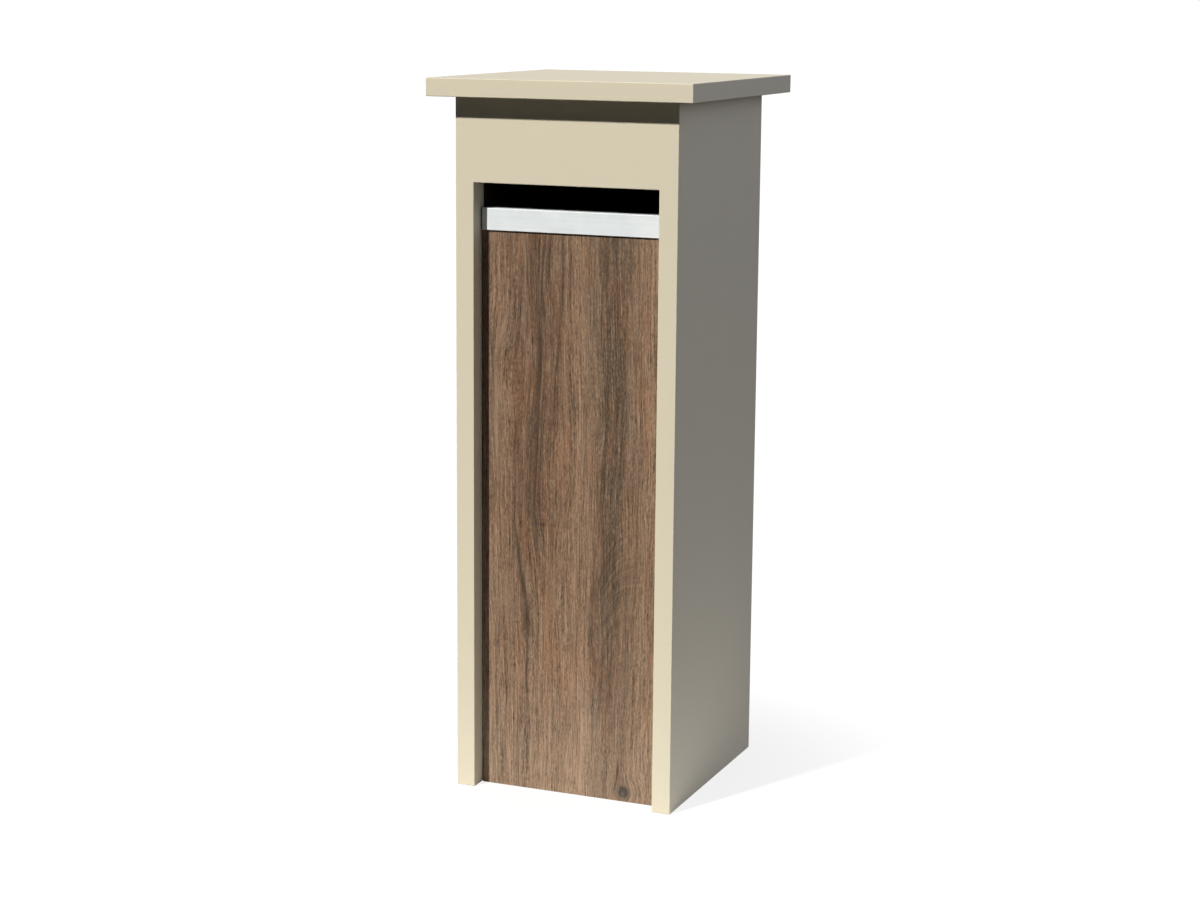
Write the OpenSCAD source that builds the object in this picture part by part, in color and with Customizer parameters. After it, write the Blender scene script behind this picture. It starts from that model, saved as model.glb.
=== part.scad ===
// Free-standing pillar mailbox: a painted plywood carcass with an open letter slot, a recessed
// wood-decor front panel under an aluminium sill, and a lockable door in the back.
// Millimetres. Origin: on the ground under the centre of the cap. The front faces -Y, +Z is up.

/* [Carcass] */
// Height of the carcass, from the ground to the underside of the cap
body_h = 975; // [810:5:1200]
// Width over the two side panels
body_w = 325; // [270:5:420]
// Depth from the front edges to the rear edges of the side panels
body_d = 332; // [270:2:420]
// Thickness of each side panel; its front edge is one of the two jambs
side_t = 27; // [21:0.5:36]
// Thickness of the base panel that is bolted to the ground
base_t = 18; // [15:1:30]
// Distance between the anchor holes across the base
anchor_pitch_x = 150; // [100:5:150]
// Distance between the anchor holes front to back
anchor_pitch_y = 180; // [100:5:200]
// Diameter of the anchor holes
anchor_d = 11; // [8:0.5:14]

/* [Cap] */
// Thickness of the cap
cap_t = 25; // [20:1:40]
// Overhang of the cap past each side panel
cap_side = 30; // [10:1:60]
// Overhang of the cap past the front
cap_front = 30; // [10:1:60]
// Overhang of the cap past the back
cap_rear = 38; // [10:1:60]

/* [Front] */
// Height of the header board between the slot and the cap
header_h = 116; // [80:1:180]
// Thickness of the header board
header_t = 25; // [15:1:30]
// Clear height of the letter slot
slot_h = 36; // [28:1:50]
// Depth from the jambs' front edges back to the front panel
recess = 25; // [10:1:40]
// Thickness of the wood-decor front panel
panel_t = 8; // [6:0.5:13]
// Gap between each edge of the front panel and its side panel
panel_gap = 1.5; // [0.5:0.5:4]

/* [Slot sill] */
// Height of the sill's upright leg
sill_face_h = 30; // [20:1:40]
// Depth of the sill's flat leg
sill_leg = 30; // [24:1:40]
// Thickness of the aluminium
sill_t = 3; // [2:0.5:5]
// Gap between each end of the sill and its side panel
sill_gap = 2.5; // [0.5:0.5:5]

/* [Inside] */
// Width and depth of the square battens and cleats
batten = 20; // [16:1:28]
// Thickness of the mail shelf
shelf_t = 18; // [12:1:24]
// Drop from the sill to the top of the mail shelf
shelf_drop = 375; // [250:5:450]

/* [Back] */
// Width of the stiles beside the door
stile_w = 22; // [18:1:32]
// Height of the bottom rail
bottom_rail_h = 75; // [50:1:120]
// Height of the top rail
top_rail_h = 75; // [60:1:110]
// Thickness of the door
door_t = 18; // [15:0.5:22]
// Gap round the door
door_gap = 2; // [1.5:0.25:4]
// Thickness of the foam seal behind the door
seal_t = 3.7; // [2:0.1:6]
// Width of the foam strips in the gaps beside the door
side_seal_w = 4; // [3:0.5:6]

/* [Hinges] */
// Height of a hinge
hinge_h = 60; // [50:1:90]
// Width of a leaf, from the pin's axis
hinge_leaf = 20; // [18:0.5:26]
// Thickness of a leaf
leaf_t = 1.8; // [1.5:0.1:3]
// Radius of the knuckles
knuckle_r = 3.2; // [3:0.1:5]
// Radius of the pin
pin_r = 1.7; // [1.2:0.1:2]

/* [Lock] */
// Height of the lock above the mail shelf
lock_rise = 150; // [100:5:250]
// Distance from the door's free edge to the lock's axis
lock_inset = 24; // [22:0.5:40]
// Radius of the lock's threaded barrel
barrel_r = 9.5; // [9:0.25:11]
// Radius of the turning plug
plug_r = 6.5; // [5.75:0.25:7]
// How far the cam's tip reaches past the door's edge
cam_reach = 14; // [10:0.5:18]
// Thickness of the cam
cam_t = 2.5; // [1.5:0.25:4]

/* [Hidden] */
$fn = 48;

// Colours
PAINT = "#dcd2b4";
FILM = "#33271f";
DECOR = "#7d6049";
PINE = "#c9a777";
ALUMINIUM = "#cdd2d8";
STEEL = "#a9abad";
NICKEL = "#b9b6ad";
FOAM = "#1d1d1f";

// Fits
fit = 0.3;          // between pieces that move past each other
slip = 0.1;         // round a screw or a dowel
hinge_slip = 0.05;  // round a hinge pin or the lock's plug
cut = 1;            // how far a cutter runs past a face

// Planes across the object, X
inner_x = body_w / 2 - side_t;                 // inner face of a side panel
door_x = inner_x - stile_w - door_gap;         // edge of the door
batten_x = inner_x - batten;                   // inner face of a batten
anchor_x = anchor_pitch_x / 2;
anchor_y = anchor_pitch_y / 2;

// Planes front to back, Y
cap_w = body_w + 2 * cap_side;
cap_d = cap_front + body_d + cap_rear;
front_y = cap_front - cap_d / 2;               // front edges of the side panels
back_y = front_y + body_d;                     // rear edges of the side panels
panel_y = front_y + recess;                    // front of the wood-decor panel
panel_back_y = panel_y + panel_t;
batten_back_y = panel_back_y + batten;
header_back_y = front_y + header_t;
frame_t = door_t + seal_t + fit;               // depth of the rails and stiles
frame_y = back_y - frame_t;                    // inner face of the rails and stiles
base_mid_y = (panel_back_y + frame_y) / 2;

// Levels, Z
slot_top_z = body_h - header_h;
sill_z = slot_top_z - slot_h;                  // top of the sill
panel_top_z = sill_z - sill_t;                 // top of the front panel, under the sill's flat leg
shelf_z = sill_z - shelf_drop;                 // top of the mail shelf
door_low_z = bottom_rail_h + door_gap;
door_high_z = body_h - top_rail_h - door_gap;
lock_z = shelf_z + lock_rise;

// Screws: [shank diameter, head diameter, length]
WOOD_SCREW = [4, 8, batten + 14];              // through a batten or cleat into a board
STILE_SCREW = [4, 8, stile_w + 12];            // through a stile into a side panel
PANEL_SCREW = [4, 8, batten + panel_t - 2];    // through a batten into the front panel
SHELF_SCREW = [4, 8, shelf_t + 12];            // through the shelf into a cleat
SILL_SCREW = [4, 7.5, 18];
HINGE_SCREW = [3.2, 6.4, 15];
STRIKE_SCREW = [3, 6, 12];
STOP_SCREW = [3.5, 7, 22];

// Distance from a piece's end to its first screw or dowel
cleat_inset = 40;        // screws from a cleat into the side panel
cross_inset = 75;        // screws from a cleat into the base, the shelf or the cap
batten_inset = 60;       // screws from a front batten into the side panel
panel_inset = 100;       // screws from a front batten into the front panel
stile_inset = 45;
header_dowel_inset = 28;
rail_dowel_inset = 18;
stop_inset = 25;
strike_inset = 8;

// Dowels
dowel_r = 4;
dowel_l = 30;
dowel_end_gap = 0.5;     // between a dowel's end and the bottom of its hole

// Hinges
hinge_x = door_x + door_gap / 2;
hinge_y = back_y + knuckle_r + fit;
hinge_inset = 100;                             // from the door's top or bottom to a hinge's middle
hinge_z = [
    door_high_z - hinge_inset,
    (door_low_z + door_high_z) / 2,
    door_low_z + hinge_inset
];
leaf_root = knuckle_r + 0.4;                   // where the flat part of a leaf starts
knuckles = 5;
knuckle_gap = 0.3;
leaf_corner = 3;
leaf_screw_x = 12;                             // from the pin's axis to the screws
leaf_screw_pitch = hinge_h / 3;
pin_head_h = 1.2;
frame_knuckles = [0, 2, 4];
door_knuckles = [1, 3];

// Door stops
stop_d = 12;
stop_h = 22;
stop_lap = 9;                                  // how far a stop shows past its rail
stop_side_gap = 5;
seal_h = stop_lap - 1;
seal_swing = 0.7;                              // room for the door's corner as it swings past

// Lock
strike_t = 1.5;
strike_h = 60;
strike_w = stile_w - 4;
flange_r = barrel_r + 2;
flange_t = 3;
flange_edge = 1;                               // bevel round the flange
nut_t = 4;
nut_af = 2 * barrel_r + 5;                     // across the nut's flats
barrel_flat = barrel_r - 1.5;                  // from the axis to each flat of the barrel
barrel_reach = max(frame_t + strike_t + fit, door_t + nut_t + 0.5);
plug_head_r = plug_r + 1.5;
plug_head_t = 1.5;
cam_seat = 4;                                  // half the plug's square end
cam_len = lock_inset + cam_reach;              // from the lock's axis to the cam's tip
cam_hub_r = 9;
cam_tip_r = 7;
cam_screw_r = 2.5;
cam_screw_l = 6;
cam_screw_head = [6.5, 2.5];                   // radius and height
cam_socket_r = 2.2;
cam_slip = 0.2;                                // between the barrel's end and the cam
plug_len = flange_t + barrel_reach + cam_t;
keyway_depth = plug_len - cam_screw_l - 1.5;
lock_x = -(door_x - lock_inset);

// Key
key_t = 2.2;
blade_h = 8;
blade_len = keyway_depth - 1.5;
keyway_gap = 0.2;
neck_len = 4;                                  // from the lock's face to the bow
shoulder_h = 1.5;                              // how far the shoulder stands past the blade
shoulder_len = 5.5;
shoulder_gap = 0.5;                            // between the shoulder and the lock's face
bow_r = 12;
bow_hole_r = 3.5;
bow_hole_out = 5;                              // from the bow's middle to its hole
bow_lap = 2;                                   // how far the neck runs into the bow
bit_pitch = 3.2;
bit_w = 1.9;
bit_deep = [1.6, 2.4, 1.2, 2.8, 2.0];

// ---------------------------------------------------------------- helpers

// A box between two corners
module block(low, high) {
    translate(low) cube(high - low);
}

// Turns +Z to point along a direction
module along(d) {
    rotate([0, acos(d[2] / norm(d)), atan2(d[1], d[0])]) children();
}

// n places spread evenly from a to b
function spread(a, b, n) = [for (i = [0 : n - 1]) a + i * (b - a) / (n - 1)];

// Countersunk screw: the top of its head at the origin, its point towards +Z
module screw(size) {
    d = size[0];
    head = size[1];
    sink = (head - d) / 2;
    tip = d;
    difference() {
        union() {
            cylinder(h = sink, r1 = head / 2, r2 = d / 2);
            cylinder(h = size[2] - tip, r = d / 2);
            translate([0, 0, size[2] - tip]) cylinder(h = tip, r1 = d / 2, r2 = 0.3);
        }
        for (turn = [0, 90]) rotate([0, 0, turn])
            translate([-head * 0.3, -head * 0.055, -cut])
                cube([head * 0.6, head * 0.11, cut + sink * 0.7]);
    }
}

// The hole that such a screw fills
module screw_hole(size) {
    d = size[0] + 2 * slip;
    head = size[1] + 2 * slip;
    sink = (head - d) / 2;
    translate([0, 0, -cut]) cylinder(h = cut, r = head / 2);
    cylinder(h = sink, r1 = head / 2, r2 = d / 2);
    cylinder(h = size[2] + slip, r = d / 2);
}

// Screws and screw holes at a list of [place, direction]
module screws(places, size) {
    color(STEEL) for (p = places) translate(p[0]) along(p[1]) screw(size);
}
module screw_holes(places, size) {
    for (p = places) translate(p[0]) along(p[1]) screw_hole(size);
}

// Dowels and their holes at a list of middle points, all along X
module dowels(places) {
    color(PINE) for (p = places) translate(p) rotate([0, 90, 0])
        cylinder(h = dowel_l, r = dowel_r, center = true);
}
module dowel_holes(places) {
    for (p = places) translate(p) rotate([0, 90, 0])
        cylinder(h = dowel_l + 2 * dowel_end_gap, r = dowel_r + slip, center = true);
}

// ---------------------------------------------------------------- where the fasteners sit

// Places along a batten or cleat on the side s (-1 left, 1 right), driven sideways into the side panel
function sideways(s, ys, zs) = [for (y = ys, z = zs) [[s * batten_x, y, z], [s, 0, 0]]];

batten_mid_y = panel_back_y + batten / 2;
batten_mid_x = inner_x - batten / 2;
sill_screw_y = (panel_back_y + panel_y - sill_t + sill_leg) / 2;
cleat_ys = spread(batten_back_y + cleat_inset, frame_y - cleat_inset, 3);
cross_ys = spread(batten_back_y + cross_inset, frame_y - cross_inset, 2);

function batten_places(s) =
    sideways(s, [batten_mid_y], spread(base_t + batten_inset, panel_top_z - batten_inset, 4));
function panel_places(s) = [for (z = spread(base_t + panel_inset, panel_top_z - panel_inset, 4))
    [[s * batten_mid_x, batten_back_y, z], [0, -1, 0]]];
function sill_places(s) = [[[s * batten_mid_x, sill_screw_y, sill_z], [0, 0, -1]]];

base_cleat_z = base_t + batten / 2;
shelf_cleat_z = shelf_z - shelf_t - batten / 2;
cap_cleat_z = body_h - batten / 2;
function base_side_places(s) = sideways(s, cleat_ys, [base_cleat_z]);
function base_down_places(s) = [for (y = cross_ys)
    [[s * batten_mid_x, y, base_t + batten], [0, 0, -1]]];
function shelf_side_places(s) = sideways(s, cleat_ys, [shelf_cleat_z]);
function shelf_down_places(s) = [for (y = cross_ys) [[s * batten_mid_x, y, shelf_z], [0, 0, -1]]];
function cap_side_places(s) = sideways(s, cleat_ys, [cap_cleat_z]);
function cap_up_places(s) = [for (y = cross_ys)
    [[s * batten_mid_x, y, body_h - batten], [0, 0, 1]]];

// Screws through the stiles, clear of the hinge screws on one side and of the strike's on the other
frame_mid_y = back_y - frame_t / 2;
stile_edge = 5;
function stile_screw_y(s) = s > 0 ? frame_y + stile_edge : back_y - stile_edge;
function stile_places(s) =
    [for (z = spread(bottom_rail_h + stile_inset, body_h - top_rail_h - stile_inset, 4))
    [[s * (inner_x - stile_w), stile_screw_y(s), z], [s, 0, 0]]];

// Dowels at one end of the header and of each rail
header_mid_y = front_y + header_t / 2;
function header_dowel_places(s) =
    [for (z = spread(slot_top_z + header_dowel_inset, body_h - header_dowel_inset, 2))
    [s * inner_x, header_mid_y, z]];
function top_rail_dowel_places(s) =
    [for (z = spread(body_h - top_rail_h + rail_dowel_inset, body_h - rail_dowel_inset, 2))
    [s * inner_x, frame_mid_y, z]];
function bottom_rail_dowel_places(s) =
    [for (z = spread(rail_dowel_inset, bottom_rail_h - rail_dowel_inset, 2))
    [s * inner_x, frame_mid_y, z]];

stop_w = 2 * (inner_x - stile_w - stop_side_gap);
top_stop_z = body_h - top_rail_h - stop_lap;               // lower edge of the top stop
bottom_stop_z = bottom_rail_h + stop_lap;                  // upper edge of the bottom stop
stop_xs = spread(-stop_w / 2 + stop_inset, stop_w / 2 - stop_inset, 3);
top_stop_places = [for (x = stop_xs)
    [[x, frame_y - stop_d, body_h - top_rail_h + (stop_h - stop_lap) / 2], [0, 1, 0]]];
bottom_stop_places = [for (x = stop_xs)
    [[x, frame_y - stop_d, bottom_rail_h - (stop_h - stop_lap) / 2], [0, 1, 0]]];

strike_x = -(inner_x - stile_w / 2);
strike_reach = strike_h / 2 - strike_inset;
strike_places = [for (z = [lock_z - strike_reach, lock_z + strike_reach])
    [[strike_x, frame_y - strike_t, z], [0, 1, 0]]];

// Screws of the leaf on the side s of the hinge's axis: 1 on the stile, -1 on the door
function leaf_places(s, z) = [for (k = [-1, 0, 1])
    [[hinge_x + s * leaf_screw_x, back_y + leaf_t, z + k * leaf_screw_pitch], [0, -1, 0]]];
frame_leaf_places = [for (z = hinge_z, p = leaf_places(1, z)) p];
door_leaf_places = [for (z = hinge_z, p = leaf_places(-1, z)) p];

// ---------------------------------------------------------------- carcass

// One side panel: a full-height board with blind holes on its inner face
module side_panel(s) {
    color(PAINT) difference() {
        block([min(s * inner_x, s * body_w / 2), front_y, 0],
              [max(s * inner_x, s * body_w / 2), back_y, body_h]);
        dowel_holes(concat(header_dowel_places(s), top_rail_dowel_places(s),
                           bottom_rail_dowel_places(s)));
        screw_holes(concat(batten_places(s), base_side_places(s), shelf_side_places(s),
                           cap_side_places(s)), WOOD_SCREW);
        screw_holes(stile_places(s), STILE_SCREW);
    }
}
module left_side_panel() { side_panel(-1); }
module right_side_panel() { side_panel(1); }

// The cap: a plain slab over everything, screwed on from below
module cap_panel() {
    color(PAINT) difference() {
        block([-cap_w / 2, -cap_d / 2, body_h], [cap_w / 2, cap_d / 2, body_h + cap_t]);
        screw_holes(concat(cap_up_places(-1), cap_up_places(1)), WOOD_SCREW);
    }
}

// The header: the board above the letter slot, dowelled flush between the side panels
module header_panel() {
    color(PAINT) difference() {
        block([-inner_x, front_y, slot_top_z], [inner_x, header_back_y, body_h]);
        dowel_holes(concat(header_dowel_places(-1), header_dowel_places(1)));
    }
}
module header_dowels() {
    dowels(concat(header_dowel_places(-1), header_dowel_places(1)));
}

// The base panel, with the four holes that anchor the mailbox to the ground
module base_panel() {
    color(FILM) difference() {
        block([-inner_x, panel_back_y, 0], [inner_x, frame_y, base_t]);
        for (x = [-anchor_x, anchor_x], y = [-anchor_y, anchor_y])
            translate([x, base_mid_y + y, -cut]) cylinder(h = base_t + 2 * cut, r = anchor_d / 2);
        screw_holes(concat(base_down_places(-1), base_down_places(1)), WOOD_SCREW);
    }
}

// ---------------------------------------------------------------- front

// The wood-decor panel, screwed on from behind through the battens
module front_panel() {
    color(DECOR) difference() {
        block([panel_gap - inner_x, panel_y, 0], [inner_x - panel_gap, panel_back_y, panel_top_z]);
        screw_holes(concat(panel_places(-1), panel_places(1)), PANEL_SCREW);
    }
}

// The sill: an aluminium angle over the panel's top edge, which letters slide across
module slot_sill() {
    sill_x = inner_x - sill_gap;
    color(ALUMINIUM) difference() {
        union() {
            block([-sill_x, panel_y - sill_t, sill_z - sill_face_h], [sill_x, panel_y, sill_z]);
            block([-sill_x, panel_y - sill_t, sill_z - sill_t],
                  [sill_x, panel_y - sill_t + sill_leg, sill_z]);
        }
        screw_holes(concat(sill_places(-1), sill_places(1)), SILL_SCREW);
    }
}
module sill_screws() {
    screws(concat(sill_places(-1), sill_places(1)), SILL_SCREW);
}

// Upright battens in the corners behind the front panel
module front_batten(s) {
    color(PINE) difference() {
        block([min(s * batten_x, s * inner_x), panel_back_y, base_t],
              [max(s * batten_x, s * inner_x), batten_back_y, panel_top_z]);
        screw_holes(batten_places(s), WOOD_SCREW);
        screw_holes(panel_places(s), PANEL_SCREW);
        screw_holes(sill_places(s), SILL_SCREW);
    }
}
module left_front_batten() { front_batten(-1); }
module right_front_batten() { front_batten(1); }
module front_batten_screws() {
    screws(concat(batten_places(-1), batten_places(1)), WOOD_SCREW);
}
module front_panel_screws() {
    screws(concat(panel_places(-1), panel_places(1)), PANEL_SCREW);
}

// ---------------------------------------------------------------- cleats and shelf

// One level cleat along a side panel, from the front batten to the stile
module cleat(s, front, low_z, side_places, cross_places) {
    color(PINE) difference() {
        block([min(s * batten_x, s * inner_x), front, low_z],
              [max(s * batten_x, s * inner_x), frame_y, low_z + batten]);
        screw_holes(side_places, WOOD_SCREW);
        screw_holes(cross_places[0], cross_places[1]);
    }
}
module base_cleat(s) {
    cleat(s, batten_back_y, base_t, base_side_places(s), [base_down_places(s), WOOD_SCREW]);
}
module shelf_cleat(s) {
    cleat(s, batten_back_y, shelf_z - shelf_t - batten, shelf_side_places(s),
          [shelf_down_places(s), SHELF_SCREW]);
}
module cap_cleat(s) {
    cleat(s, header_back_y, body_h - batten, cap_side_places(s), [cap_up_places(s), WOOD_SCREW]);
}
module left_base_cleat() { base_cleat(-1); }
module right_base_cleat() { base_cleat(1); }
module left_shelf_cleat() { shelf_cleat(-1); }
module right_shelf_cleat() { shelf_cleat(1); }
module left_cap_cleat() { cap_cleat(-1); }
module right_cap_cleat() { cap_cleat(1); }
module base_cleat_screws() {
    for (s = [-1, 1]) screws(concat(base_side_places(s), base_down_places(s)), WOOD_SCREW);
}
module shelf_cleat_screws() {
    for (s = [-1, 1]) {
        screws(shelf_side_places(s), WOOD_SCREW);
        screws(shelf_down_places(s), SHELF_SCREW);
    }
}
module cap_cleat_screws() {
    for (s = [-1, 1]) screws(concat(cap_side_places(s), cap_up_places(s)), WOOD_SCREW);
}

// The shelf that letters land on, notched round the front battens
module mail_shelf() {
    notch_x = batten_x - fit;
    color(FILM) difference() {
        block([fit - inner_x, panel_back_y + fit, shelf_z - shelf_t],
              [inner_x - fit, frame_y - 1, shelf_z]);
        for (s = [-1, 1])
            block([min(s * notch_x, s * (inner_x + cut)), panel_back_y, shelf_z - shelf_t - cut],
                  [max(s * notch_x, s * (inner_x + cut)), batten_back_y + fit, shelf_z + cut]);
        screw_holes(concat(shelf_down_places(-1), shelf_down_places(1)), SHELF_SCREW);
    }
}

// ---------------------------------------------------------------- rear frame

module rear_top_rail() {
    color(PAINT) difference() {
        block([-inner_x, frame_y, body_h - top_rail_h], [inner_x, back_y, body_h]);
        dowel_holes(concat(top_rail_dowel_places(-1), top_rail_dowel_places(1)));
        screw_holes(top_stop_places, STOP_SCREW);
    }
}
module rear_bottom_rail() {
    color(PAINT) difference() {
        block([-inner_x, frame_y, 0], [inner_x, back_y, bottom_rail_h]);
        dowel_holes(concat(bottom_rail_dowel_places(-1), bottom_rail_dowel_places(1)));
        screw_holes(bottom_stop_places, STOP_SCREW);
    }
}
module rail_dowels() {
    for (s = [-1, 1]) dowels(concat(top_rail_dowel_places(s), bottom_rail_dowel_places(s)));
}

// The upright beside the door on the side s, between the rails
module stile(s) {
    block([min(s * inner_x, s * (inner_x - stile_w)), frame_y, bottom_rail_h],
          [max(s * inner_x, s * (inner_x - stile_w)), back_y, body_h - top_rail_h]);
}
module hinge_stile() {
    color(PAINT) difference() {
        stile(1);
        screw_holes(stile_places(1), STILE_SCREW);
        screw_holes(frame_leaf_places, HINGE_SCREW);
    }
}
module lock_stile() {
    color(PAINT) difference() {
        stile(-1);
        screw_holes(stile_places(-1), STILE_SCREW);
        screw_holes(strike_places, STRIKE_SCREW);
    }
}
module stile_screws() {
    screws(concat(stile_places(-1), stile_places(1)), STILE_SCREW);
}

// Stop strips on the rails' inner faces, which the door shuts against
module door_stop(low_z, places) {
    color(PINE) difference() {
        block([-stop_w / 2, frame_y - stop_d, low_z], [stop_w / 2, frame_y, low_z + stop_h]);
        screw_holes(places, STOP_SCREW);
    }
}
module top_door_stop() { door_stop(top_stop_z, top_stop_places); }
module bottom_door_stop() { door_stop(bottom_stop_z - stop_h, bottom_stop_places); }
module door_stop_screws() {
    screws(concat(top_stop_places, bottom_stop_places), STOP_SCREW);
}

// Foam strips on the part of each stop that shows past its rail, and on the stiles' edges
module door_seal() {
    color(FOAM) {
        for (z = [top_stop_z, bottom_stop_z - seal_h])
            block([-stop_w / 2, frame_y, z], [stop_w / 2, frame_y + seal_t, z + seal_h]);
        for (s = [-1, 1]) mirror([s < 0 ? 1 : 0, 0, 0])
            block([door_x + seal_swing, back_y - door_t, door_low_z],
                  [door_x + door_gap, back_y - door_t + side_seal_w, door_high_z]);
    }
}

// The steel plate that the cam turns behind
module strike_plate() {
    color(STEEL) difference() {
        block([strike_x - strike_w / 2, frame_y - strike_t, lock_z - strike_h / 2],
              [strike_x + strike_w / 2, frame_y, lock_z + strike_h / 2]);
        screw_holes(strike_places, STRIKE_SCREW);
    }
}
module strike_screws() { screws(strike_places, STRIKE_SCREW); }

// ---------------------------------------------------------------- hinges

// A flat leaf with rounded outer corners, on the side s of the axis
module leaf_plate(s) {
    translate([0, back_y, 0]) rotate([-90, 0, 0]) linear_extrude(leaf_t) union() {
        translate([s > 0 ? leaf_root : leaf_corner - hinge_leaf, -hinge_h / 2])
            square([hinge_leaf - leaf_root - leaf_corner, hinge_h]);
        translate([s > 0 ? leaf_root : -hinge_leaf, leaf_corner - hinge_h / 2])
            square([hinge_leaf - leaf_root, hinge_h - 2 * leaf_corner]);
        for (z = [-1, 1])
            translate([s * (hinge_leaf - leaf_corner), z * (hinge_h / 2 - leaf_corner)])
                circle(leaf_corner);
    }
}

// One knuckle and the tab that joins it to its leaf
module knuckle(s, i) {
    step = hinge_h / knuckles;
    low = -hinge_h / 2 + i * step + (i > 0 ? knuckle_gap / 2 : 0);
    high = -hinge_h / 2 + (i + 1) * step - (i < knuckles - 1 ? knuckle_gap / 2 : 0);
    translate([0, hinge_y, low]) cylinder(h = high - low, r = knuckle_r);
    block([min(0, s * (leaf_root + 0.5)), hinge_y - knuckle_r, low],
          [max(0, s * (leaf_root + 0.5)), back_y + leaf_t, high]);
}

// A whole leaf at the height z: s is 1 on the stile and -1 on the door
module hinge_leaf_at(s, z, own_knuckles) {
    color(STEEL) difference() {
        translate([hinge_x, 0, z]) union() {
            leaf_plate(s);
            for (i = own_knuckles) knuckle(s, i);
        }
        translate([hinge_x, hinge_y, z - hinge_h / 2 - cut])
            cylinder(h = hinge_h + 2 * cut, r = pin_r + hinge_slip);
        screw_holes(leaf_places(s, z), HINGE_SCREW);
    }
}
module upper_hinge_frame_leaf() { hinge_leaf_at(1, hinge_z[0], frame_knuckles); }
module middle_hinge_frame_leaf() { hinge_leaf_at(1, hinge_z[1], frame_knuckles); }
module lower_hinge_frame_leaf() { hinge_leaf_at(1, hinge_z[2], frame_knuckles); }
module upper_hinge_door_leaf() { hinge_leaf_at(-1, hinge_z[0], door_knuckles); }
module middle_hinge_door_leaf() { hinge_leaf_at(-1, hinge_z[1], door_knuckles); }
module lower_hinge_door_leaf() { hinge_leaf_at(-1, hinge_z[2], door_knuckles); }

// A pin with a low round head that rests on the top knuckle
module hinge_pin(z) {
    color(STEEL) translate([hinge_x, hinge_y, z - hinge_h / 2]) {
        cylinder(h = hinge_h, r = pin_r);
        translate([0, 0, hinge_h]) cylinder(h = pin_head_h, r1 = knuckle_r, r2 = pin_r);
    }
}
module upper_hinge_pin() { hinge_pin(hinge_z[0]); }
module middle_hinge_pin() { hinge_pin(hinge_z[1]); }
module lower_hinge_pin() { hinge_pin(hinge_z[2]); }
module frame_leaf_screws() { screws(frame_leaf_places, HINGE_SCREW); }
module door_leaf_screws() { screws(door_leaf_places, HINGE_SCREW); }

// ---------------------------------------------------------------- door and lock

// Turns a shape drawn along +Z so that it runs inwards from the lock's outer face
module at_lock() {
    translate([lock_x, back_y, lock_z]) rotate([90, 0, 0]) children();
}

// The barrel's outline: a circle with two flats that stop it turning in the door
module barrel_outline(grow) {
    intersection() {
        circle(barrel_r + grow);
        square([4 * barrel_r, 2 * (barrel_flat + grow)], center = true);
    }
}

module door_panel() {
    color(PAINT) difference() {
        block([-door_x, back_y - door_t, door_low_z], [door_x, back_y, door_high_z]);
        at_lock() translate([0, 0, -cut]) linear_extrude(door_t + 2 * cut) barrel_outline(slip);
        screw_holes(door_leaf_places, HINGE_SCREW);
    }
}

module lock_barrel() {
    color(NICKEL) at_lock() difference() {
        union() {
            translate([0, 0, -flange_t])
                cylinder(h = flange_edge, r1 = flange_r - flange_edge, r2 = flange_r);
            translate([0, 0, flange_edge - flange_t])
                cylinder(h = flange_t - flange_edge, r = flange_r);
            linear_extrude(barrel_reach - cam_slip) barrel_outline(0);
        }
        translate([0, 0, -flange_t - cut])
            cylinder(h = barrel_reach + flange_t + 2 * cut, r = plug_r + hinge_slip);
        translate([0, 0, -flange_t - cut])
            cylinder(h = plug_head_t + cut + hinge_slip, r = plug_head_r + hinge_slip);
    }
}

module lock_nut() {
    color(STEEL) at_lock() translate([0, 0, door_t]) difference() {
        cylinder(h = nut_t, r = nut_af / 2 / cos(30), $fn = 6);
        translate([0, 0, -cut]) linear_extrude(nut_t + 2 * cut) barrel_outline(slip);
    }
}

// The turning plug: a head in the flange, a round body, a square seat for the cam and a keyway
module lock_plug() {
    color(NICKEL) at_lock() difference() {
        union() {
            translate([0, 0, -flange_t]) cylinder(h = plug_head_t, r = plug_head_r);
            translate([0, 0, -flange_t]) cylinder(h = flange_t + barrel_reach, r = plug_r);
            translate([-cam_seat, -cam_seat, barrel_reach - cut])
                cube([2 * cam_seat, 2 * cam_seat, cam_t + cut]);
        }
        translate([-key_t / 2 - keyway_gap, -blade_h / 2 - keyway_gap, -flange_t - cut])
            cube([key_t + 2 * keyway_gap, blade_h + 2 * keyway_gap, keyway_depth + cut]);
        translate([0, 0, barrel_reach + cam_t - cam_screw_l - slip])
            cylinder(h = cam_screw_l + cut, r = cam_screw_r + slip);
    }
}

// The cam, hanging down when the lock is open
module lock_cam() {
    color(STEEL) at_lock() translate([0, 0, barrel_reach]) linear_extrude(cam_t) difference() {
        union() {
            circle(cam_hub_r);
            translate([-cam_tip_r, cam_tip_r - cam_len]) square([2 * cam_tip_r, cam_len - cam_tip_r]);
            translate([0, cam_tip_r - cam_len]) circle(cam_tip_r);
        }
        square(2 * (cam_seat + slip), center = true);
    }
}

// The screw that holds the cam on the plug's square end
module cam_screw() {
    color(STEEL) at_lock() translate([0, 0, barrel_reach + cam_t]) difference() {
        union() {
            translate([0, 0, -cam_screw_l]) cylinder(h = cam_screw_l, r = cam_screw_r);
            cylinder(h = cam_screw_head[1], r = cam_screw_head[0]);
        }
        translate([0, 0, cam_screw_head[1] / 3])
            cylinder(h = cam_screw_head[1], r = cam_socket_r, $fn = 6);
    }
}

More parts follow.
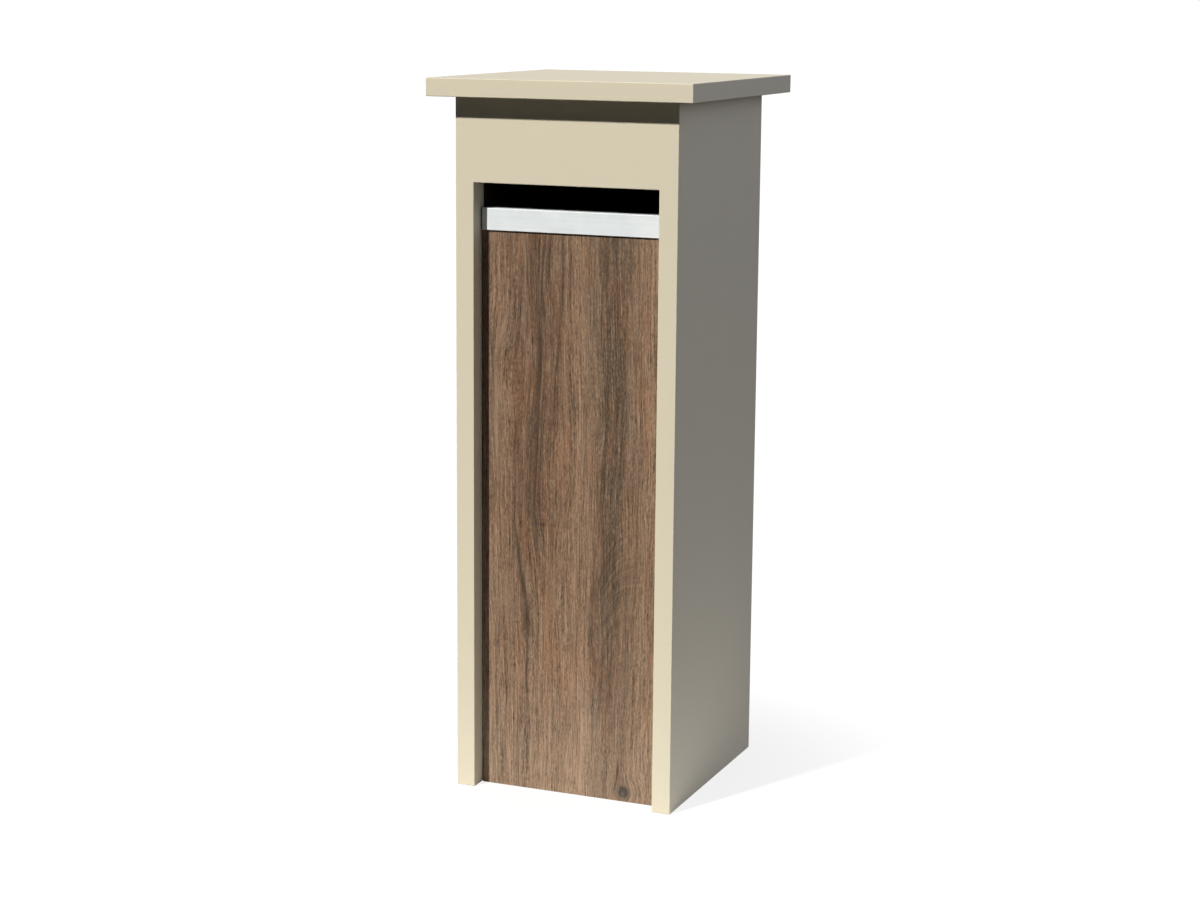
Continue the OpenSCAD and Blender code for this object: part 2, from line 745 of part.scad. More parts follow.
// The key, upright in the keyway: a blade with cuts along its lower edge, a shoulder and a round bow
module key() {
    neck_z = -flange_t - neck_len;
    bow_z = neck_z - bow_r + bow_lap;
    color(NICKEL) at_lock() rotate([0, -90, 0]) linear_extrude(key_t, center = true) difference() {
        union() {
            translate([neck_z, -blade_h / 2]) square([neck_len + blade_len, blade_h]);
            translate([-flange_t - shoulder_gap - shoulder_len, -blade_h / 2 - shoulder_h])
                square([shoulder_len, blade_h + 2 * shoulder_h]);
            translate([bow_z, 0]) circle(bow_r);
        }
        translate([bow_z - bow_hole_out, 0]) circle(bow_hole_r);
        for (i = [0 : len(bit_deep) - 1])
            translate([i * bit_pitch, -blade_h / 2 - cut]) square([bit_w, bit_deep[i] + cut]);
    }
}

left_side_panel();
right_side_panel();
cap_panel();
header_panel();
header_dowels();
front_panel();
slot_sill();
sill_screws();
left_front_batten();
right_front_batten();
front_batten_screws();
front_panel_screws();
base_panel();
left_base_cleat();
right_base_cleat();
base_cleat_screws();
mail_shelf();
left_shelf_cleat();
right_shelf_cleat();
shelf_cleat_screws();
left_cap_cleat();
right_cap_cleat();
cap_cleat_screws();
rear_top_rail();
rear_bottom_rail();
rail_dowels();
hinge_stile();
lock_stile();
stile_screws();
top_door_stop();
bottom_door_stop();
door_stop_screws();
door_seal();
strike_plate();
strike_screws();
upper_hinge_frame_leaf();
middle_hinge_frame_leaf();
lower_hinge_frame_leaf();
upper_hinge_pin();
middle_hinge_pin();
lower_hinge_pin();
frame_leaf_screws();
door_panel();
upper_hinge_door_leaf();
middle_hinge_door_leaf();
lower_hinge_door_leaf();
door_leaf_screws();
lock_barrel();
lock_nut();
lock_plug();
lock_cam();
cam_screw();
key();
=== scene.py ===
# %% [markdown]
# # A pillar mailbox, finished in Blender
# The mailbox is a painted plywood pillar with a flat cap, an open letter slot over an aluminium
# sill, a wood-decor panel in front and a lockable door in the back. Its shape comes from a packed
# CAD model that stays exactly where it is. This lesson gives the boards their eased arrises, the
# hardware its threads and recesses, and every surface a material made of nodes.

# %% Load the frame
import math

import bmesh
import bpy
from mathutils import Matrix, Vector


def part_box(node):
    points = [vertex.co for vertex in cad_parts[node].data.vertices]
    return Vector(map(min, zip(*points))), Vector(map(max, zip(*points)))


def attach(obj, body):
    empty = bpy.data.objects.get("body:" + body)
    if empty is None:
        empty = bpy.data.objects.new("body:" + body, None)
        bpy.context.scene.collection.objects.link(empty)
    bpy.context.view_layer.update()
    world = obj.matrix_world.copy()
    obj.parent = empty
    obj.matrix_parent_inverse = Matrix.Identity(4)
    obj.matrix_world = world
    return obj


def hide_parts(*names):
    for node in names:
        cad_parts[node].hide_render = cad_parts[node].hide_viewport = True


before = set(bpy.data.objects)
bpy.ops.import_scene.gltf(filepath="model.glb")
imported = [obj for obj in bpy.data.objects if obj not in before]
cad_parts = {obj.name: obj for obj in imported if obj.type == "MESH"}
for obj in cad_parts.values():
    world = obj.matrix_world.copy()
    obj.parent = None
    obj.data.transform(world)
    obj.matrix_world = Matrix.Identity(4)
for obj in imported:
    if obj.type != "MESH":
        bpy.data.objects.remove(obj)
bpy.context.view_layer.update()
MM = 0.001

# %% [markdown]
# ## Where things are
# Every position is read from the frame, so nothing is measured twice. The planes below cut the
# mailbox into what is outside, and painted, and what is inside, and faced with a dark film.

# %% Named planes
SIDE_LOW, SIDE_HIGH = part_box("right_side_panel")
FRONT_LOW, FRONT_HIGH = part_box("front_panel")
RAIL_LOW, RAIL_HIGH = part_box("rear_bottom_rail")
HEADER_LOW, HEADER_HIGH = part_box("header_panel")
inner_x = SIDE_LOW.x
frame_y = RAIL_LOW.y
body_top = SIDE_HIGH.z
print(f"inner width {2 * inner_x:.3f} m, carcass {body_top:.3f} m high")

# %% [markdown]
# ## The camera
# A long lens from the right of the front, a little above the cap, keeps the pillar's edges nearly
# parallel, which suits a tall box. The turn about each axis is given by name, and the last one is
# the slight tilt of a camera held by hand.

# %% Camera
CAMERA_PLACE = Vector((1.287, -3.138, 1.120))
CAMERA_TURN = math.radians(22.56)
CAMERA_DOWN = math.radians(10.85)
CAMERA_TILT = math.radians(0.47)

camera_data = bpy.data.cameras.new("camera")
camera_data.lens = 72.3
camera = bpy.data.objects.new("camera", camera_data)
bpy.context.scene.collection.objects.link(camera)
aim = (Matrix.Rotation(CAMERA_TURN, 4, "Z") @ Matrix.Rotation(math.pi / 2 - CAMERA_DOWN, 4, "X")
       @ Matrix.Rotation(CAMERA_TILT, 4, "Z"))
camera.matrix_world = Matrix.Translation(CAMERA_PLACE) @ aim
bpy.context.scene.camera = camera
print("camera", round(camera_data.lens, 1), "mm")

# %% [markdown]
# ## Shader maths that reads like maths
# A material is a graph, and a graph built node by node is hard to read. The `Wire` class wraps one
# output of a node, so that a sum or product of wires adds its Math nodes by itself. `Finish` holds
# a material while it is built, and its `node` method makes any other node.

# %% Wires and finishes
class Wire:
    """One number or colour on its way through a material."""

    def __init__(self, finish, socket):
        self.finish = finish
        self.socket = socket

    def math(self, operation, *values):
        return self.finish.node("ShaderNodeMath", {"operation": operation}, *values)

    def __add__(self, other):
        return self.math("ADD", self, other)

    def __sub__(self, other):
        return self.math("SUBTRACT", self, other)

    def __rsub__(self, other):
        return self.math("SUBTRACT", other, self)

    def __mul__(self, other):
        return self.math("MULTIPLY", self, other)

    def __truediv__(self, other):
        return self.math("DIVIDE", self, other)

    def __pow__(self, other):
        return self.math("POWER", self, other)

    def __gt__(self, other):
        return self.math("GREATER_THAN", self, other)

    def __lt__(self, other):
        return self.math("LESS_THAN", self, other)

    def __abs__(self):
        return self.math("ABSOLUTE", self)

    __radd__ = __add__
    __rmul__ = __mul__


class Finish:
    """A material, or the world, under construction."""

    def __init__(self, name, holder=None):
        self.holder = holder or bpy.data.materials.new(name)
        self.holder.use_nodes = True
        self.tree = self.holder.node_tree
        self.tree.nodes.clear()
        self.place = self.node("ShaderNodeTexCoord", out="Object")

    def node(self, kind, settings=None, *values, out=0, **named):
        made = self.tree.nodes.new(kind)
        for key, value in (settings or {}).items():
            if key == "stops":
                self.set_stops(made.color_ramp, value)
            else:
                setattr(made, key, value)
        sockets = list(zip(made.inputs, values))
        sockets += [(made.inputs[key.replace("_", " ")], value) for key, value in named.items()]
        for socket, value in sockets:
            if isinstance(value, Wire):
                self.tree.links.new(value.socket, socket)
            elif value is not None:
                socket.default_value = value
        return Wire(self, made.outputs[out]) if made.outputs else None

    def set_stops(self, ramp, stops):
        while len(ramp.elements) < len(stops):
            ramp.elements.new(1)
        for element, (position, colour) in zip(ramp.elements, stops):
            element.position = position
            element.color = (*colour, 1)

    def axes(self, vector):
        x = self.node("ShaderNodeSeparateXYZ", None, vector, out="X")
        node = x.socket.node
        return x, Wire(self, node.outputs["Y"]), Wire(self, node.outputs["Z"])

    def stretched(self, size, offset=(0, 0, 0), place=None):
        """Coordinates in which one unit is `size` metres along each axis."""
        return self.node("ShaderNodeMapping", None, place or self.place, offset, (0, 0, 0),
                         tuple(1 / s for s in size))

    def noise(self, place, detail=2.0, roughness=0.5, distortion=0.0):
        return self.node("ShaderNodeTexNoise", None, Vector=place, Scale=1.0, Detail=detail,
                         Roughness=roughness, Distortion=distortion)

    def between(self, value, low, high):
        """0 below `low`, 1 above `high` and a smooth step between them."""
        return self.node("ShaderNodeMapRange", {"interpolation_type": "SMOOTHSTEP"}, value, low, high)

    def mix(self, factor, first, second, blend="MIX"):
        """Two colours mixed by a factor. The colour sockets of a Mix node are its last two."""
        made = self.node("ShaderNodeMix", {"data_type": "RGBA", "blend_type": blend}, factor, out=2)
        for socket, value in zip(list(made.socket.node.inputs)[6:8], (first, second)):
            if isinstance(value, Wire):
                self.tree.links.new(value.socket, socket)
            else:
                socket.default_value = (*value, 1)
        return made

    def shaded(self, colour, factor):
        """A colour, as a wire or as three numbers, made lighter or darker by a factor near 1."""
        return self.node("ShaderNodeVectorMath", {"operation": "SCALE"}, Vector=colour, Scale=factor)

    def spot(self, x, z, middle, size, slant=0.0):
        """A soft ellipse: 1 at its middle, near 0 beyond twice its size. `slant` is its dx/dz."""
        across = (x - (z - middle[1]) * slant - middle[0]) / size[0]
        along = (z - middle[1]) / size[1]
        far = across * across + along * along
        return far.math("EXPONENT", far * -1)

    def bump(self, height, depth):
        """A normal from a height between 0 and 1 that is `depth` metres at most."""
        return self.node("ShaderNodeBump", None, Strength=1.0, Distance=depth, Height=height)

    def surface(self, colour, roughness, metallic=0.0, normal=None, **fixed):
        shader = self.node("ShaderNodeBsdfPrincipled", None, Base_Color=colour, Roughness=roughness,
                           Metallic=metallic, **fixed)
        if normal is not None:
            self.tree.links.new(normal.socket, shader.socket.node.inputs["Normal"])
        self.node("ShaderNodeOutputMaterial", None, shader)
        return self.holder

# %% [markdown]
# ## Outdoor paint
# The boards are rolled with a satin beige paint. Rolled paint isn't flat: it has a fine stipple
# about a millimetre across and a slow wave under it, and its colour drifts very slightly. Inside
# the pillar the plywood keeps its dark factory film, so one mask, made of the named planes, turns
# the paint into film from the back of the front panel inwards.

# %% Paint and film colours
PAINT = (0.715, 0.668, 0.535)
PAINT_WORN = (0.630, 0.590, 0.475)
FILM_DARK = (0.012, 0.008, 0.006)
FILM_LIGHT = (0.032, 0.020, 0.014)
FILM_SCUFFED = (0.10, 0.075, 0.06)


def film_colour(finish):
    fibres = finish.noise(finish.stretched((0.012, 0.012, 0.0015)), detail=3)
    return finish.mix(fibres, FILM_DARK, FILM_LIGHT)


def painted_board():
    finish = Finish("satin_beige_paint")
    x, y, z = finish.axes(finish.place)
    cloud = finish.noise(finish.stretched((0.14, 0.14, 0.22)), detail=3)
    fine = finish.noise(finish.stretched((0.018, 0.018, 0.030)), detail=2)
    colour = finish.mix(cloud * 0.35 + fine * 0.15, PAINT, PAINT_WORN)
    stipple = finish.noise(finish.stretched((0.0011, 0.0011, 0.0011)), detail=1)
    wave = finish.noise(finish.stretched((0.020, 0.020, 0.034)), detail=1)
    inside = ((abs(x) < inner_x + 0.2 * MM) * (y > FRONT_HIGH.y - 1 * MM)
              * (y < frame_y + 0.2 * MM) * (z < body_top + 0.2 * MM))
    colour = finish.mix(inside, colour, film_colour(finish))
    roughness = 0.44 + stipple * 0.08 + cloud * 0.06 - inside * 0.12
    height = stipple * 0.35 + wave * 0.65
    return finish.surface(colour, roughness, normal=finish.bump(height, 0.12 * MM))


paint = painted_board()
print("paint:", len(paint.node_tree.nodes), "nodes")

# %% [markdown]
# ## Film-faced plywood
# The base and the shelf are bare film-faced plywood. On a cut edge the layers show as light and
# dark stripes, because each veneer is turned a quarter against the next. The stripes are made from
# the height alone, and a test of the surface's own direction keeps them off the faces.

# %% Film and plywood edges
PLY = 1.5 * MM
VENEER_PALE = ((0.42, 0.28, 0.15), (0.55, 0.39, 0.22))
VENEER_DARK = ((0.20, 0.115, 0.055), (0.30, 0.18, 0.09))


def film_board():
    finish = Finish("film_faced_plywood")
    z = finish.axes(finish.place)[2]
    facing = finish.node("ShaderNodeTexCoord", None, out="Normal")
    up = abs(finish.axes(facing)[2])
    layer = finish.node("ShaderNodeMath", {"operation": "PINGPONG"}, z, PLY) / PLY
    veneer = finish.between(layer, 0.35, 0.65)
    fibre = finish.noise(finish.stretched((0.004, 0.004, 0.0006)), detail=2)
    light = finish.mix(fibre, *VENEER_PALE)
    dark = finish.mix(fibre, *VENEER_DARK)
    edge = finish.mix(veneer, dark, light)
    scuff = finish.noise(finish.stretched((0.05, 0.004, 0.05)), detail=4)
    face = finish.mix(finish.between(scuff, 0.62, 0.80) * 0.25, film_colour(finish), FILM_SCUFFED)
    on_face = finish.between(up, 0.5, 0.8)
    colour = finish.mix(on_face, edge, face)
    roughness = 0.75 - on_face * 0.38 + scuff * 0.08
    return finish.surface(colour, roughness, normal=finish.bump(fibre, 0.05 * MM))


def inner_film():
    finish = Finish("inner_film")
    scuff = finish.noise(finish.stretched((0.03, 0.03, 0.05)), detail=3)
    return finish.surface(film_colour(finish), 0.34 + scuff * 0.12,
                          normal=finish.bump(scuff, 0.05 * MM))


film_faced = film_board()
film = inner_film()
print("film:", len(film_faced.node_tree.nodes), "nodes")

# %% [markdown]
# ## The wood decor
# The front panel carries a brown knotty grain. Grain is a bundle of lines that run up the board
# and swerve round knots, so the recipe is: shift the sideways coordinate a little, more near each
# knot, and then draw stripes on the shifted coordinate at several widths. Broad columns of colour
# come from a ramp across the board. The darkest things, the knots and their cracks, come last.

# %% The decor's colours and marks
DECOR_HALF = FRONT_HIGH.x
# Colours across the panel from its left edge (0) to its right edge (1), high up and low down
COLUMNS_HIGH = [
    (0.00, (0.210, 0.132, 0.083)),
    (0.09, (0.240, 0.150, 0.094)),
    (0.20, (0.190, 0.113, 0.068)),
    (0.31, (0.150, 0.086, 0.050)),
    (0.42, (0.184, 0.108, 0.064)),
    (0.54, (0.262, 0.166, 0.104)),
    (0.645, (0.218, 0.140, 0.089)),
    (0.668, (0.146, 0.092, 0.056)),
    (0.745, (0.108, 0.067, 0.039)),
    (0.785, (0.160, 0.101, 0.062)),
    (0.86, (0.228, 0.146, 0.092)),
    (1.00, (0.245, 0.154, 0.096)),
]
COLUMNS_LOW = [
    (0.00, (0.240, 0.152, 0.096)),
    (0.10, (0.252, 0.160, 0.102)),
    (0.22, (0.236, 0.148, 0.093)),
    (0.33, (0.262, 0.164, 0.102)),
    (0.44, (0.262, 0.164, 0.102)),
    (0.605, (0.262, 0.168, 0.108)),
    (0.635, (0.142, 0.090, 0.057)),
    (0.76, (0.170, 0.109, 0.069)),
    (0.86, (0.220, 0.141, 0.090)),
    (1.00, (0.240, 0.152, 0.096)),
]
# Each knot: its place (x, z), its half width and half height, and how far it pushes the grain
KNOTS = [
    ((0.083, 0.014), (0.0080, 0.0088), 0.80),
    ((-0.064, 0.262), (0.008, 0.040), 0.70),
    ((-0.077, 0.592), (0.016, 0.050), 0.50),
]
FLAME_MIDDLE = 0.100
FLAME_HALF = 0.070
FLAME_RISE = 0.065
RED_BROWN = (0.270, 0.125, 0.062)
GREY_TINGE = (0.200, 0.148, 0.112)
GREY_COLUMN = (0.105, 0.078, 0.052)
DARK_LINE = (0.050, 0.030, 0.018)
PALE_LINE = (0.360, 0.250, 0.175)
PALE_FIBRE = (0.345, 0.268, 0.205)
FOOT_BROWN = (0.335, 0.245, 0.175)
KNOT_HALO = (0.120, 0.090, 0.066)
KNOT_GREY = (0.042, 0.036, 0.031)
KNOT_PALE = (0.170, 0.140, 0.115)
DARK_CORE = (0.020, 0.014, 0.010)
# Marks of the tree: place (x, z), half width and half height, slant dx/dz, strength
DARK_MARKS = [
    ((-0.0435, 0.735), (0.0018, 0.060), 0.04, 0.68),
    ((-0.0475, 0.600), (0.0028, 0.078), 0.03, 0.82),
    ((-0.052, 0.480), (0.0026, 0.078), 0.03, 0.80),
    ((-0.0515, 0.385), (0.0021, 0.050), -0.05, 0.64),
    ((-0.0650, 0.735), (0.0017, 0.038), -0.08, 0.76),
    ((-0.0665, 0.665), (0.0016, 0.036), 0.08, 0.62),
    ((-0.0135, 0.735), (0.0018, 0.062), 0.03, 0.78),
    ((-0.0195, 0.635), (0.0019, 0.054), 0.07, 0.70),
    ((-0.0260, 0.550), (0.0026, 0.050), 0.08, 0.58),
    ((-0.0030, 0.750), (0.0015, 0.036), 0.00, 0.55),
    ((-0.079, 0.345), (0.0030, 0.036), -0.11, 0.82),
    ((-0.072, 0.297), (0.0044, 0.030), -0.17, 0.92),
    ((-0.0655, 0.250), (0.0052, 0.026), -0.05, 0.96),
    ((-0.0650, 0.185), (0.0021, 0.048), 0.00, 0.78),
    ((0.040, 0.305), (0.0060, 0.050), 0.30, 0.30),
    ((0.033, 0.235), (0.0050, 0.040), 0.05, 0.28),
    ((0.0735, 0.042), (0.0021, 0.016), 0.04, 0.98),
    ((0.0705, 0.020), (0.0026, 0.014), 0.10, 0.62),
    ((-0.0817, 0.242), (0.0050, 0.0013), 0.00, 0.65),
]
RED_MARKS = [
    ((-0.066, 0.360), (0.0075, 0.045), -0.20, 0.85),
    ((-0.043, 0.292), (0.0075, 0.030), -0.38, 0.85),
    ((-0.010, 0.470), (0.0070, 0.060), 0.05, 0.75),
    ((-0.078, 0.560), (0.0120, 0.030), 0.00, 0.45),
    ((-0.060, 0.700), (0.0080, 0.060), 0.00, 0.40),
    ((-0.033, 0.160), (0.0045, 0.120), 0.00, 0.60),
]
PALE_MARKS = [
    ((-0.1135, 0.540), (0.0034, 0.070), 0.00, 0.56),
    ((-0.1035, 0.655), (0.0032, 0.032), 0.30, 0.54),
    ((-0.100, 0.275), (0.0120, 0.030), 0.00, 0.18),
    ((0.029, 0.120), (0.0018, 0.060), 0.00, 0.30),
    ((0.021, 0.600), (0.0070, 0.120), 0.00, 0.14),
]

# %% [markdown]
# The recipe below works from the large to the small: first the swerve of the grain round the knots,
# then the columns of colour, then light and dark at each width, and last the single marks. Each mark
# is one soft ellipse from the lists above, so moving a mark means changing one line.

# %% Wood decor
def decor():
    finish = Finish("knotty_wood_decor")
    x, y, z = finish.axes(finish.place)
    drift = finish.noise(finish.stretched((0.060, 1.0, 0.34)), detail=2) - 0.5
    ripple = finish.noise(finish.stretched((0.014, 1.0, 0.07), (3.1, 0, 1.7)), detail=2) - 0.5
    u = x + drift * 0.034 + ripple * 0.0050
    for (knot_x, knot_z), (wide, high), push in KNOTS:
        near = finish.spot(x, z, (knot_x, knot_z), (wide * 2.4, high * 1.9))
        u = u - (x - knot_x) * near * push

    # The flame: nested arches that close above and run straight down at their sides
    part = abs(x - FLAME_MIDDLE) / FLAME_HALF
    part = part.math("MINIMUM", part, 0.985)
    depth = 1 - part * part
    arch = z - depth.math("LOGARITHM", depth, math.e) * FLAME_RISE + ripple * 0.010
    in_flame = finish.spot(x, z, (0.064, 0.310), (0.036, 0.095))
    grain_place = finish.node("ShaderNodeCombineXYZ", None, u, y, z)

    def grain(width, length, offset, detail=2):
        return finish.noise(finish.stretched((width, 1.0, length), offset, grain_place), detail) - 0.5

    across = finish.node("ShaderNodeMapRange", None, x + drift * 0.014 + ripple * 0.006,
                         -DECOR_HALF, DECOR_HALF)
    upper = finish.node("ShaderNodeValToRGB", {"stops": COLUMNS_HIGH}, across)
    lower = finish.node("ShaderNodeValToRGB", {"stops": COLUMNS_LOW}, across)
    level = finish.between(z + drift * 0.16, 0.20, 0.47)
    colour = finish.mix(level, lower, upper)

    # A red tinge where the timber is densest, and a grey one along other streaks and in one column
    tinge = grain(0.020, 0.13, (9.3, 0, 4.0))
    colour = finish.mix(finish.between(tinge, -0.05, 0.16) * 0.26, colour, RED_BROWN)
    grey = grain(0.012, 0.09, (2.6, 0, 7.4))
    colour = finish.mix(finish.between(grey, 0.00, 0.20) * 0.30, colour, GREY_TINGE)
    grey_place = finish.spot(x, z, (0.058, 0.62), (0.018, 0.20))
    colour = finish.mix(grey_place * 0.16, colour, GREY_COLUMN)
    wander = x + ripple * 0.010
    for middle, size, slant, strength in RED_MARKS:
        mark = finish.spot(wander, z, middle, size, slant)
        colour = finish.mix(mark * (tinge * 1.6 + 0.55) * strength, colour, RED_BROWN)

    # Light and dark at every width, from broad bands down to single fibres
    bands = grain(0.0130, 0.50, (0.0, 0, 0.0))
    streaks = grain(0.0046, 0.24, (1.3, 0, 5.2))
    fibres = grain(0.0016, 0.065, (7.7, 0, 2.9), 3)
    flecks = grain(0.0014, 0.0052, (4.4, 0, 8.1))
    hairs = grain(0.0011, 0.016, (6.1, 0, 3.3))
    flame_place = finish.node("ShaderNodeCombineXYZ", None, x * 0.3, y, arch)
    flame = finish.noise(finish.stretched((0.03, 1.0, 0.0048), place=flame_place), detail=2) - 0.5
    pale_foot = 1 - finish.between(z, 0.02, 0.22)
    fine = 1 - in_flame * 0.45 - pale_foot * 0.22
    shade = (0.955 + bands * 0.60 + streaks * 0.95 + fibres * fine * 1.95 + flecks * fine * 1.60
             + hairs * 1.6 + flame * in_flame * 1.4)
    colour = finish.mix(pale_foot * 0.38, colour, FOOT_BROWN)
    colour = finish.shaded(colour, shade)
    colour = finish.mix(finish.between(shade, 1.0, 1.7) * 0.40, colour, PALE_FIBRE)

    # Long dark lines, high up in the left third and low down at the left edge, and short dashes
    high_left = finish.spot(x, z, (-0.055, 0.62), (0.034, 0.26))
    low_left = finish.spot(x, z, (-0.095, 0.14), (0.036, 0.15))
    cord_lines = finish.between(grain(0.0062, 0.50, (2.2, 0, 6.6), 1), 0.03, 0.17)
    fine_lines = finish.between(grain(0.0038, 0.30, (5.2, 0, 1.6), 1), 0.03, 0.16)
    colour = finish.mix(cord_lines * high_left * 0.40, colour, DARK_LINE)
    colour = finish.mix(fine_lines * low_left * 0.50, colour, DARK_LINE)
    dashes = finish.between(grain(0.0019, 0.017, (8.8, 0, 0.4), 1), 0.15, 0.27)
    colour = finish.mix(dashes * 0.20, colour, DARK_LINE)
    wander = wander + fibres * 0.003
    for middle, size, slant, strength in PALE_MARKS:
        colour = finish.mix(finish.spot(wander, z, middle, size, slant) * strength, colour, PALE_LINE)
    for middle, size, slant, strength in DARK_MARKS:
        colour = finish.mix(finish.spot(wander, z, middle, size, slant) * strength, colour, DARK_LINE)

    # The knot at the foot: a dark grey disc with a small pale spot low on its left
    (knot_x, knot_z), (wide, high), _ = KNOTS[0]
    ragged = finish.noise(finish.stretched((0.005, 1.0, 0.005)), detail=3) - 0.5
    dx = (x - knot_x) / wide
    dz = (z - knot_z) / high
    far = (dx * dx + dz * dz) ** 0.5 + ragged * 0.70
    disc = 1 - finish.between(far, 0.70, 1.15)
    pale_spot = finish.spot(x, z, (knot_x - 0.001, knot_z - 0.003), (0.0028, 0.0036))
    halo = 1 - finish.between(far, 0.9, 2.0)
    colour = finish.mix(halo * 0.42, colour, KNOT_HALO)
    colour = finish.mix(disc * 0.84, colour, KNOT_GREY)
    colour = finish.mix(pale_spot * 0.55, colour, KNOT_PALE)

    # The cut edges show the dark core
    facing = finish.axes(finish.node("ShaderNodeTexCoord", None, out="Normal"))[1]
    core = 1 - finish.between(abs(facing), 0.5, 0.8)
    colour = finish.mix(core, colour, DARK_CORE)
    height = 0.5 + streaks * 0.3 + fibres * 0.5 + flecks * 0.6 + hairs * 0.5 - dashes * 0.3
    roughness = 0.56 + fibres * 0.14 + dashes * 0.12
    return finish.surface(colour, roughness, normal=finish.bump(height, 0.10 * MM))


wood_decor = decor()
print("decor:", len(wood_decor.node_tree.nodes), "nodes")

# %% [markdown]
# ## Bare softwood
# Battens and cleats are planed pine. The same recipe serves all of them, turned so that the grain
# runs along the length of each piece: growth rings become long soft bands, and fine lines lie
# between them.

# %% Softwood
EARLY_WOOD = (0.62, 0.43, 0.235)
LATE_WOOD = (0.50, 0.295, 0.135)
GRAIN_SIZE = {"X": (0.30, 0.010, 0.010), "Y": (0.010, 0.30, 0.010), "Z": (0.010, 0.010, 0.30)}


def softwood(along):
    finish = Finish("planed_pine_" + along.lower())
    size = GRAIN_SIZE[along]
    rings = finish.noise(finish.stretched(size), detail=2, distortion=0.3)
    lines = finish.noise(finish.stretched(tuple(s / 7 for s in size)), detail=2)
    ring = finish.between(rings, 0.42, 0.62)
    colour = finish.mix(ring, EARLY_WOOD, LATE_WOOD)
    colour = finish.shaded(colour, 0.85 + lines * 0.3)
    return finish.surface(colour, 0.55 + lines * 0.15, normal=finish.bump(lines, 0.08 * MM))


pine = {axis: softwood(axis) for axis in GRAIN_SIZE}
print("softwood along", ", ".join(pine))

# %% [markdown]
# ## Metals
# Four metals sit side by side, and what tells them apart is direction and tint. Drawn aluminium has
# long faint lines along the bar. Its pale bluish colour is a painted reflection of the sky, and it is
# only partly metallic, so the sun's sheen on it shows as a painted bright colour. Stainless
# hinges are brushed upwards. Zinc on screws is slightly blue and cloudy, and the nickel on the lock
# is warmer and smoother.

# %% Metals
def metal(name, colour, roughness, brush, brush_depth, cloud_size=0.02, metallic=1.0, uneven=0.16):
    finish = Finish(name)
    streaks = finish.noise(finish.stretched(brush), detail=2)
    cloud = finish.noise(finish.stretched((cloud_size,) * 3), detail=2)
    tone = finish.shaded(colour, 1.0 + (streaks - 0.5) * uneven + (cloud - 0.5) * uneven)
    rough = roughness + (streaks - 0.5) * uneven + (cloud - 0.5) * uneven
    return finish.surface(tone, rough, metallic=metallic, normal=finish.bump(streaks, brush_depth))


# The sill's pale bluish colour and low metallic paint the sky's reflection and the sun's sheen into it.
aluminium_painted_sheen = metal("aluminium_painted_sheen", (0.865, 0.935, 1.0), 0.55, (0.30, 0.0012, 0.0012), 0.05 * MM,
                        cloud_size=0.03, metallic=0.24)
stainless = metal("brushed_stainless", (0.66, 0.65, 0.63), 0.32, (0.0005, 0.0005, 0.05), 0.008 * MM)
zinc = metal("zinc_plate", (0.66, 0.68, 0.71), 0.34, (0.003, 0.003, 0.003), 0.004 * MM, 0.005)
nickel = metal("nickel_plate", (0.72, 0.68, 0.62), 0.22, (0.006, 0.006, 0.006), 0.004 * MM, 0.012,
               uneven=0.10)
print("metals: drawn aluminium, stainless, zinc, nickel")

# %% [markdown]
# ## Foam
# The door shuts on black closed-cell foam: very dark, very matt, with fine cells.

# %% Foam
def foam_rubber():
    finish = Finish("closed_cell_foam")
    cells = finish.node("ShaderNodeTexVoronoi", None, Vector=finish.place, Scale=1400.0)
    colour = finish.mix(cells, (0.010, 0.010, 0.011), (0.032, 0.032, 0.034))
    return finish.surface(colour, 0.85 + cells * 0.1, normal=finish.bump(cells, 0.15 * MM))


foam = foam_rubber()
print("foam:", len(foam.node_tree.nodes), "nodes")

# %% [markdown]
# ## Boards with eased arrises
# A sawn board is never razor sharp: its arrises are eased with a few strokes of sandpaper before
# it is painted. A Bevel modifier on the CAD mesh would also round every screw hole, so each board
# is a merged copy of its node, and only the long edges that lie on the board's outline are
# rounded. The seams between the header and the side boards are filled and painted over, so those
# edges stay sharp and flush, and no line shows. Faces that look into the pillar take the film.

# %% Eased copies
def merged(node):
    """The CAD node's mesh with its loose triangles joined into faces."""
    shape = bmesh.new()
    shape.from_mesh(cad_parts[node].data)
    bmesh.ops.remove_doubles(shape, verts=shape.verts, dist=0.002 * MM)
    bmesh.ops.dissolve_limit(shape, angle_limit=math.radians(0.3), verts=shape.verts, edges=shape.edges)
    return shape


def on_outline(edge, low, high):
    """Whether both ends of an edge lie on the same two sides of the box."""
    shared = 0
    for axis in range(3):
        for side in (low, high):
            if all(abs(v.co[axis] - side[axis]) < 0.01 * MM for v in edge.verts):
                shared += 1
    return shared >= 2


def settle(name, mesh, materials, body, nodes):
    """Puts a finished mesh into the scene, on its body, in place of its CAD nodes."""
    piece = bpy.data.objects.new(name, mesh)
    bpy.context.scene.collection.objects.link(piece)
    for material in materials:
        mesh.materials.append(material)
    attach(piece, body)
    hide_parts(*nodes)
    return piece


def smoothed(piece, angle):
    """Smooth shading up to an angle, with flat faces kept flat by weighting."""
    piece.data.shade_smooth()
    piece.data.set_sharp_from_angle(angle=math.radians(angle))
    weigh = piece.modifiers.new("weighted_normals", "WEIGHTED_NORMAL")
    weigh.keep_sharp = True


def in_filled_seam(edge):
    """Whether an edge lies in the seams between the header and the side boards, which are filled."""
    middle = (edge.verts[0].co + edge.verts[1].co) / 2
    return abs(abs(middle.x) - inner_x) < 0.1 * MM and middle.z > HEADER_LOW.z and middle.y < HEADER_HIGH.y


